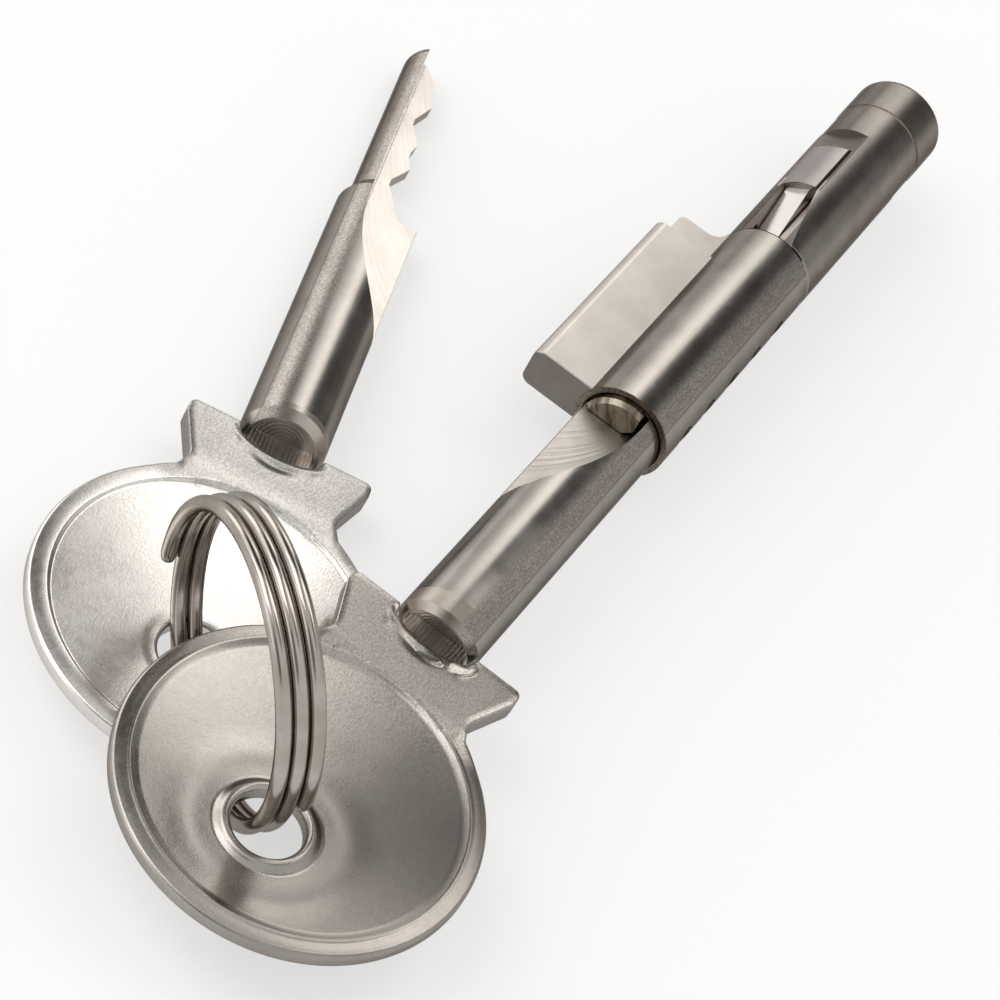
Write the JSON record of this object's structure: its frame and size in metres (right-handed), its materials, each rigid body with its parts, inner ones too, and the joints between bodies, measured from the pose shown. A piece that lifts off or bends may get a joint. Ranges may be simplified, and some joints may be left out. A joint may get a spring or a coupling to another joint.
{
  "type": "sliding glass cabinet lock",
  "caption": "Plug-in pin tumbler lock for a sliding glass cabinet door, round barrel with a side lug, pivoting latch in its tail, with flat round-bowed keys on a split ring.",
  "frame": {"origin": "on the lock's axis, at the mouth face of the barrel where the key goes in", "axes": "+X along the lock from the key's bow to the round tail, +Y out of the lug, +Z on the side of the key's dished face"},
  "size_m": [0.0959, 0.0419, 0.0217],
  "materials": {
    "housing_nickel": "satin nickel plate",
    "plug_brass": "turned",
    "pin_brass": "turned",
    "pin_steel": "ground",
    "spring_steel": "drawn",
    "latch_steel": "bright plate",
    "shank_nickel": "satin nickel plate",
    "bow_nickel": "pressed and plated",
    "ring_steel": "bright plate"
  },
  "bodies": {
    "housing": {"housing": "housing_nickel", "plug_retaining_pin": "pin_steel", "tail_fixing_pin": "pin_steel", "tail_sleeve": "housing_nickel", "latch_pivot_pin": "pin_steel", "pin_spring_1": "spring_steel", "pin_spring_2": "spring_steel", "pin_spring_3": "spring_steel", "pin_spring_4": "spring_steel", "pin_spring_5": "spring_steel"},
    "plug": {"plug": "plug_brass", "drive_pin": "pin_steel", "key_pin_1": "pin_brass", "key_pin_2": "pin_brass", "key_pin_3": "pin_brass", "key_pin_4": "pin_brass", "key_pin_5": "pin_brass"},
    "latch": {"latch": "latch_steel"},
    "key": {"key_shank": "shank_nickel", "key_bow": "bow_nickel"},
    "ring": {"split_ring": "ring_steel"},
    "spare_key": {"spare_key_shank": "shank_nickel", "spare_key_bow": "bow_nickel"},
    "driver_1": {"driver_pin_1": "pin_steel"},
    "driver_2": {"driver_pin_2": "pin_steel"},
    "driver_3": {"driver_pin_3": "pin_steel"},
    "driver_4": {"driver_pin_4": "pin_steel"},
    "driver_5": {"driver_pin_5": "pin_steel"}
  },
  "joints": [
    {"name": "plug_turn", "type": "hinge", "parent": "housing", "child": "plug", "pos_m": [0, 0, 0], "axis": [1, 0, 0], "range_deg": [0, 90]},
    {"name": "latch_swing", "type": "hinge", "parent": "housing", "child": "latch", "pos_m": [0.0313, 0.00117, 0.0015], "axis": [0, 0.788, -0.6157], "range_deg": [0, 14]},
    {"name": "key_slide", "type": "slide", "parent": "plug", "child": "key", "axis": [-1, 0, 0], "range_m": [0, 0.0185]},
    {"name": "ring_turn", "type": "hinge", "parent": "key", "child": "ring", "pos_m": [-0.04374, 0, 0], "axis": [0, 0, 1], "range_deg": [0, 60]},
    {"name": "spare_key_turn", "type": "hinge", "parent": "ring", "child": "spare_key", "pos_m": [-0.03556, 0.01064, -0.00226], "axis": [0.0417, -0.0282, 0.9987], "range_deg": [0, 60]},
    {"name": "driver_slide_1", "type": "slide", "parent": "housing", "child": "driver_1", "axis": [0, 1, 0], "range_m": [0, 0.0009], "stiffness_N_per_m": 30, "springref_m": -0.0005, "deforming": ["pin_spring_1"]},
    {"name": "driver_slide_2", "type": "slide", "parent": "housing", "child": "driver_2", "axis": [0, 1, 0], "range_m": [0, 0.0009], "stiffness_N_per_m": 30, "springref_m": -0.0005, "deforming": ["pin_spring_2"]},
    {"name": "driver_slide_3", "type": "slide", "parent": "housing", "child": "driver_3", "axis": [0, 1, 0], "range_m": [0, 0.0009], "stiffness_N_per_m": 30, "springref_m": -0.0005, "deforming": ["pin_spring_3"]},
    {"name": "driver_slide_4", "type": "slide", "parent": "housing", "child": "driver_4", "axis": [0, 1, 0], "range_m": [0, 0.0009], "stiffness_N_per_m": 30, "springref_m": -0.0005, "deforming": ["pin_spring_4"]},
    {"name": "driver_slide_5", "type": "slide", "parent": "housing", "child": "driver_5", "axis": [0, 1, 0], "range_m": [0, 0.0009], "stiffness_N_per_m": 30, "springref_m": -0.0005, "deforming": ["pin_spring_5"]}
  ],
  "couplings": [
    {"joint": "latch_swing", "follows": "plug_turn", "ratio": 0.15556}
  ]
}
